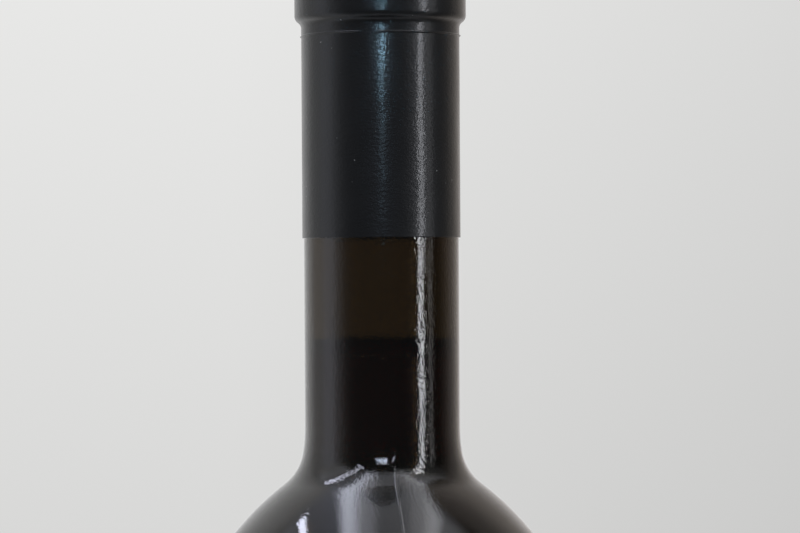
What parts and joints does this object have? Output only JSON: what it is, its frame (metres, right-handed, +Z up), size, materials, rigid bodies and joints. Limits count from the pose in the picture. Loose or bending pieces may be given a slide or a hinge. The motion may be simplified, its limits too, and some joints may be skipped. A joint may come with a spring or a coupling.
{
  "type": "wine bottle",
  "caption": "Tall straight-sided wine bottle with high rounded shoulders, dark glass, a black shrunk capsule over the mouth and wine up to the neck.",
  "frame": {"origin": "middle of the base, on the surface the bottle stands on", "axes": "+Z up the bottle's axis towards the mouth; the mould's parting seam runs up the glass near -Y and again near +Y"},
  "size_m": [0.075, 0.075, 0.3203],
  "materials": {
    "bottle_glass": "dark olive-brown bottle glass, smooth and glossy",
    "capsule_skin": "satin black shrink film with a fine pebbled skin",
    "wine": "still red wine, nearly black in the bottle"
  },
  "bodies": {
    "root": {"bottle": "bottle_glass", "capsule": "capsule_skin", "wine": "wine"}
  },
  "joints": []
}
